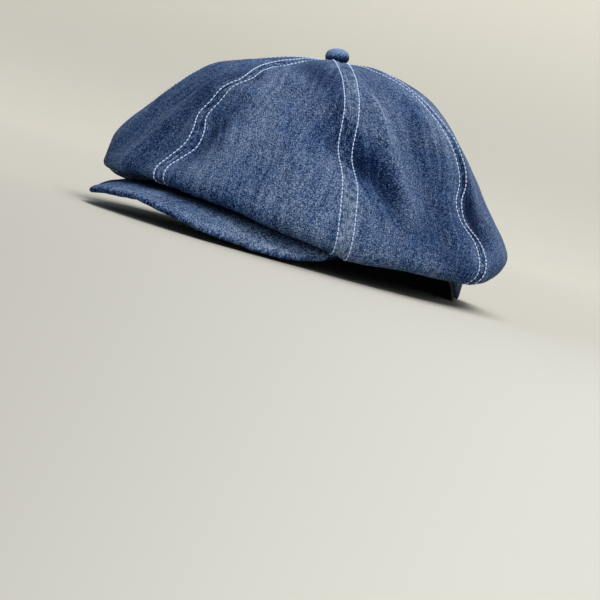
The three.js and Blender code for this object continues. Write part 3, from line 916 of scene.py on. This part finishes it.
def capsules(starts, ends, lifts):
    """Short rounded threads from start to end, each bowed up by its own lift vector."""
    count = len(starts)
    direction = unit(ends - starts)
    up = unit(lifts)
    side = unit(np.cross(direction, up))
    angle = (np.arange(CAPSULE_SIDES) * 2 * math.pi / CAPSULE_SIDES)[None, :, None]
    spokes = side[:, None] * np.cos(angle) + up[:, None] * np.sin(angle)
    rings = []
    for place, swell in CAPSULE_RINGS:
        centre = lerp(starts, ends, place) + lifts * (4 * place * (1 - place))
        rings.append(centre[:, None] + spokes * (THREAD_RADIUS * swell))
    points = np.stack(rings, 1)
    ring_count = len(CAPSULE_RINGS)
    block = np.arange(ring_count * CAPSULE_SIDES).reshape(ring_count, CAPSULE_SIDES)
    turned = np.roll(block, -1, axis=1)
    walls = np.stack((block[:-1], turned[:-1], turned[1:], block[1:]), -1).reshape(-1, 4)
    first, last = block[0][::-1], block[-1]
    faces = []
    for i in range(count):
        shift = i * ring_count * CAPSULE_SIDES
        faces.extend((walls + shift).tolist())
        faces.append((first + shift).tolist())
        faces.append((last + shift).tolist())
    return points.reshape(-1, 3), faces


ROW_TRACE_POINTS = 1500


def lengths_along(points):
    """How far each point of a row of points lies from the first."""
    return np.concatenate(([0], np.cumsum(np.linalg.norm(np.diff(points, axis=0), axis=1))))


def seam_row(index, side):
    """Starts, ends and lifts of the stitches beside a seam, at its left (side 0) or right (side 1)."""
    panel = index - 1 + side
    share = np.linspace(STITCH_FIRST_SHARE, STITCH_LAST_SHARE, ROW_TRACE_POINTS)
    width = panel_surface(panel, 0.5, share)["width"]
    offset = np.minimum(STITCH_OFFSET, STITCH_NARROWING * width) / width
    surface = panel_surface(panel, offset if side else 1 - offset, share)
    along = lengths_along(surface["point"])
    first = np.arange(STITCH_STAGGER * side, along[-1] - STITCH_PITCH, STITCH_PITCH)

    def read(distance, values):
        return np.stack([np.interp(distance, along, values[:, k]) for k in range(3)], -1)

    normal = unit(read(first + STITCH_LENGTH / 2, surface["normal"]))
    sink = normal * STITCH_SINK
    starts = read(first, surface["point"]) - sink
    ends = read(first + STITCH_LENGTH, surface["point"]) - sink
    return starts, ends, normal * STITCH_BOW


def topstitching(index):
    rows = [seam_row(index, side) for side in (0, 1)]
    starts, ends, lifts = (np.concatenate(parts) for parts in zip(*rows))
    points, faces = capsules(starts, ends, lifts)
    obj = new_mesh(f"topstitch_{index + 1}", points, faces)
    obj.data.materials.append(THREAD)
    obj.data.polygons.foreach_set("use_smooth", np.ones(len(faces), bool))
    set_attribute(obj, "cloth", points)


BAND_COLUMNS = 220
BAND_ROWS = 14


def band_ring(name, node, material, outside, thickness, bottom, top, roll):
    """A band round the head with rounded edges, a little uneven as cloth is."""
    turn = np.arange(BAND_COLUMNS)[None, :] / BAND_COLUMNS
    up = np.linspace(0, 1, BAND_ROWS + 1)[:, None]
    a = 2 * np.pi * turn
    height = lerp(top, bottom, up)
    uneven = 0.18 * lattice_noise(turn * 40, up * 2.2) * np.sin(np.pi * up)
    edge = np.minimum(height - bottom, top - height)
    tuck = roll * (1 - smooth(edge / (2.2 * roll)))

    def points(offset):
        x = (BAND_HALF_WIDTH + offset) * np.sin(a)
        y = -(BAND_HALF_LENGTH + offset) * np.cos(a)
        lift = rim_height(-BAND_HALF_LENGTH * np.cos(a))
        return np.stack(np.broadcast_arrays(x, y, lift + height), -1)

    outer = points(outside + uneven - tuck)
    inner = points(outside - thickness + uneven + tuck * 0.6)
    obj = shell(name, outer, inner, (material, material), ring=True)
    around = turn * 2 * math.pi * (BAND_HALF_WIDTH + BAND_HALF_LENGTH) / 2
    cloth = np.stack(np.broadcast_arrays(around, height, BAND_PATTERN), -1)
    set_attribute(obj, "cloth", both_faces(cloth))
    set_attribute(obj, "wear_and_painted_shade", both_faces(0.05 * lattice_noise(around / 20, height / 9)))
    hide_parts(node)


PEAK_COLUMNS = 190
PEAK_ROWS = 44
PEAK_ROW_CROWDING = 1.5  # rows lie closer towards the edge
PEAK_COVERS_APART = 0.05  # from the middle surface to each cover's near face
PEAK_LEAST_THICKNESS = 0.12


def peak_shade(round_it, from_edge, from_root):
    """Painted light and shade over the peak: paler to the left where more light falls, a painted shade at
    the turned edge and a painted shadow under the hem.
    """
    shade = 0.07 + 0.17 * round_it
    shade = shade - 0.3 * bell(from_edge / 0.9) + 0.08 * bell((from_edge - 3.4) / 2)
    return shade - 0.45 * (1 - smooth((from_root - 20) / 11))


def peak_covers():
    """Two covers that meet along the outer edge, which is turned, a little thick and puckered."""
    round_it = np.linspace(-1, 1, PEAK_COLUMNS + 1)[None, :]
    out = 1 - (1 - np.linspace(0, 1, PEAK_ROWS + 1)[:, None]) ** PEAK_ROW_CROWDING
    middle = peak_middle(round_it, out)
    normal = peak_normal(round_it, out)
    reach = np.linalg.norm(peak_middle(round_it, 1.0) - peak_middle(round_it, 0.0), axis=-1)
    from_edge = (1 - out) * reach
    rim = middle[-1]
    along = lengths_along(rim)[None, :]
    outward = unit(np.cross(np.gradient(rim, axis=0), normal[-1]))
    scallop = 0.3 * lattice_noise(along / 5.2, 2.3) + 0.3 * lattice_noise(along / 11, 6.1)
    middle = middle + outward * (scallop * bell(from_edge / 2.5))[..., None]
    pucker = 0.26 * lattice_noise(along / 4.6, from_edge / 14) * bell(from_edge / 5)
    wobble = 0.5 * lattice_noise(along / 21 + 3, from_edge / 30) * bell(from_edge / 26)
    uneven = 0.3 * lattice_noise(along / 16 + 8, from_edge / 14) * (1 - bell(from_edge / 3))
    half = PEAK_THICKNESS / 2
    rounding = np.sqrt(np.clip(1 - (1 - np.minimum(from_edge / (1.3 * half), 1)) ** 2, 0, 1))
    turned_edge = 0.25 * bell((from_edge - 3.2) / 1.6)
    cloth = np.stack((middle[..., 0], middle[..., 1], np.full(from_edge.shape, PEAK_PATTERN)), -1)
    # Painted light and shade on both covers of the peak.
    wear_and_painted_shade = peak_shade(round_it, from_edge, out * reach)
    for name, node, sign in (("peak_top_cloth", "peak_top", 1), ("peak_under_cloth", "peak_under", -1)):
        thick = half * rounding + turned_edge + (uneven if sign > 0 else 0)
        thick = np.maximum(thick, PEAK_LEAST_THICKNESS)
        far = middle + normal * (sign * thick + pucker + wobble)[..., None]
        near = middle + normal * (sign * PEAK_COVERS_APART + pucker + wobble)[..., None]
        outer, inner = (far, near) if sign > 0 else (near, far)
        obj = shell(name, outer, inner, (DENIM_PEAK, DENIM_PEAK))
        set_attribute(obj, "cloth", both_faces(cloth))
        set_attribute(obj, "wear_and_painted_shade", both_faces(wear_and_painted_shade))
        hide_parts(node)


BUTTON_COLUMNS = 120
BUTTON_PROFILE_CUTS = 6
BUTTON_GATHERS = 17

# Outline of the button: radius, and height over its seat.
BUTTON_PROFILE = (
    (3.6, -1.8),
    (5.1, -0.7),
    (6.1, 0.15),
    (6.8, 1.1),
    (7.0, 2.5),
    (6.75, 4.1),
    (5.9, 5.5),
    (4.6, 6.45),
    (2.9, 7.1),
    (1.2, 7.37),
    (0.05, 7.4),
)


def crown_button():
    """A shank button's cover: cloth drawn over a dome and gathered in under its edge, leaning a little."""
    profile = through_points(np.array([BUTTON_PROFILE], float), BUTTON_PROFILE_CUTS)[0]
    turn = 2 * np.pi * np.arange(BUTTON_COLUMNS)[None, :] / BUTTON_COLUMNS
    radius, height = profile[:, :1], profile[:, 1:]
    low = 1 - smooth(height / 3.6)
    gathers = 0.14 * low * np.cos(BUTTON_GATHERS * turn + 2.1 * np.sin(3 * turn))
    oval = 0.07 * np.sin(2 * turn + 0.6)
    r = radius + (gathers + oval) * (radius > 0.5)
    outer = np.stack((r * np.sin(turn), -r * np.cos(turn), height + 0 * turn), -1)[::-1]
    inner = outer * 0.8 + np.array((0, 0, 0.4))
    lean = np.array(Matrix.Rotation(BUTTON_TILT, 3, BUTTON_TILT_AXIS)).T
    centre = np.array((TOP_LEAN[0], AXIS_Y + TOP_LEAN[1], TOP_HEIGHT + BUTTON_SEAT))
    outer, inner = outer @ lean + centre, inner @ lean + centre
    obj = shell("crown_button_cloth", outer, inner, (DENIM_BUTTON, DENIM_BUTTON), ring=True)
    across, along = r * np.sin(turn), r * np.cos(turn) + height
    cloth = np.stack(np.broadcast_arrays(across, along, BUTTON_PATTERN), -1)[::-1]
    set_attribute(obj, "cloth", both_faces(cloth))
    # Painted shade: the button is darker towards its foot and a little at its top.
    fading_and_painted_shade = -0.05 * smooth((height - 5) / 2.4) - 0.65 * (1 - smooth(height / 5.5))
    wear_and_painted_shade = np.broadcast_to(fading_and_painted_shade, r.shape)[::-1]
    set_attribute(obj, "wear_and_painted_shade", both_faces(wear_and_painted_shade))
    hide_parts("crown_button")


for seam_index in range(PANEL_COUNT):
    crown_panel(seam_index)
    topstitching(seam_index)
crown_button()
band_ring(
    name="headband_cloth",
    node="headband",
    material=DENIM_PEAK,
    outside=0.0,
    thickness=BAND_THICKNESS,
    bottom=BAND_HEM,
    top=BAND_HEIGHT,
    roll=0.5,
)
band_ring(
    name="inner_band_cloth",
    node="inner_band",
    material=BAND_CLOTH,
    outside=-BAND_THICKNESS - BAND_GAP,
    thickness=INNER_BAND_THICKNESS,
    bottom=0.0,
    top=BAND_HEIGHT - 1,
    roll=0.3,
)
peak_covers()


# Stage, light and camera


# The sweep, in metres
SWEEP_NEAR = 6.0
SWEEP_DEPTH = 3.0
SWEEP_RADIUS = 1.2
SWEEP_HEIGHT = 4.0
SWEEP_HALF_WIDTH = 4.0
SWEEP_CUTS = 12

AIR_COLOUR = (0.95, 0.97, 1.0, 1.0)
AIR_STRENGTH = 0.12

SUN_COLUMNS = ("name", "azimuth", "elevation", "spread", "power", "colour")
SUNS = (
    ("key", 75, 58, 34, 2.3, (1.0, 0.98, 0.95)),
    ("back", 210, 55, 40, 2.25, (0.97, 0.98, 1.0)),
    ("fill", 50, 24, 50, 0.9, (0.9, 0.96, 1.0)),
    ("front", -40, 30, 60, 0.4, (0.45, 0.72, 1.0)),
)


def studio():
    """A pale sweep: the floor curves up into the wall, so that the camera sees no line behind the cap."""
    profile = [(-SWEEP_NEAR, 0.0), (SWEEP_DEPTH, 0.0)]
    for i in range(1, SWEEP_CUTS + 1):
        a = i / SWEEP_CUTS * math.pi / 2
        profile.append((SWEEP_DEPTH + SWEEP_RADIUS * math.sin(a), SWEEP_RADIUS * (1 - math.cos(a))))
    profile.append((SWEEP_DEPTH + SWEEP_RADIUS, SWEEP_HEIGHT))
    view = math.radians(CAMERA_AZIMUTH)
    away = Vector((-math.sin(view), math.cos(view), 0))
    aside = Vector((math.cos(view), math.sin(view), 0))
    up = Vector((0, 0, 1))
    sides = (-SWEEP_HALF_WIDTH, SWEEP_HALF_WIDTH)
    points = [away * depth + aside * side + up * height for depth, height in profile for side in sides]
    faces = [(2 * i, 2 * i + 1, 2 * i + 3, 2 * i + 2) for i in range(len(profile) - 1)]
    mesh = bpy.data.meshes.new("studio_sweep")
    mesh.from_pydata(points, [], faces)
    mesh.polygons.foreach_set("use_smooth", np.ones(len(faces), bool))
    mesh.materials.append(paper(BACKDROP_WITH_PAINTED_SHADE))
    sweep = bpy.data.objects.new("studio_sweep", mesh)
    sweep.visible_shadow = False
    bpy.context.scene.collection.objects.link(sweep)


def sun(name, azimuth, elevation, spread, power, colour):
    """A soft far light; azimuth runs from the peak to the wearer's left, in degrees."""
    light = bpy.data.lights.new(name, "SUN")
    light.angle = math.radians(spread)
    light.energy = power
    light.color = colour
    obj = bpy.data.objects.new(name, light)
    a, e = math.radians(azimuth), math.radians(elevation)
    towards = Vector((math.sin(a) * math.cos(e), -math.cos(a) * math.cos(e), math.sin(e)))
    obj.rotation_euler = towards.to_track_quat("Z", "Y").to_euler()
    bpy.context.scene.collection.objects.link(obj)


def studio_lights():
    world = bpy.data.worlds.new("studio_air")
    bpy.context.scene.world = world
    world.use_nodes = True
    background = world.node_tree.nodes["Background"]
    background.inputs["Color"].default_value = AIR_COLOUR
    background.inputs["Strength"].default_value = AIR_STRENGTH
    for row in SUNS:
        sun(**dict(zip(SUN_COLUMNS, row)))


def make_camera():
    """The camera at the photograph's angle, rolled as the photograph shows the cap tilted."""
    a, e, r = (math.radians(v) for v in (CAMERA_AZIMUTH, CAMERA_ELEVATION, CAMERA_ROLL))
    back = Vector((math.sin(a) * math.cos(e), -math.cos(a) * math.cos(e), math.sin(e)))
    level_right = Vector((0, 0, 1)).cross(back).normalized()
    level_up = back.cross(level_right)
    right = level_right * math.cos(r) + level_up * math.sin(r)
    up = level_up * math.cos(r) - level_right * math.sin(r)
    position = back * CAMERA_DISTANCE
    offset_x, offset_y = (p - PICTURE / 2 for p in BAND_CENTRE_PIXEL)
    aim = (up * offset_y - right * offset_x) * CAMERA_DISTANCE / FOCAL_PIXELS
    back = (position - aim).normalized()
    right = up.cross(back).normalized()
    up = back.cross(right)
    camera = bpy.data.cameras.new("camera")
    camera.sensor_width = SENSOR
    camera.lens = FOCAL_PIXELS * SENSOR / PICTURE
    camera.clip_start = 0.05
    obj = bpy.data.objects.new("camera", camera)
    place = (position - Vector(FOOTPRINT_MIDDLE)) * MM
    obj.matrix_world = Matrix.Translation(place) @ Matrix((right, up, back)).transposed().to_4x4()
    bpy.context.scene.collection.objects.link(obj)
    bpy.context.scene.camera = obj


studio()
studio_lights()
make_camera()
bpy.context.scene.view_settings.view_transform = "Standard"
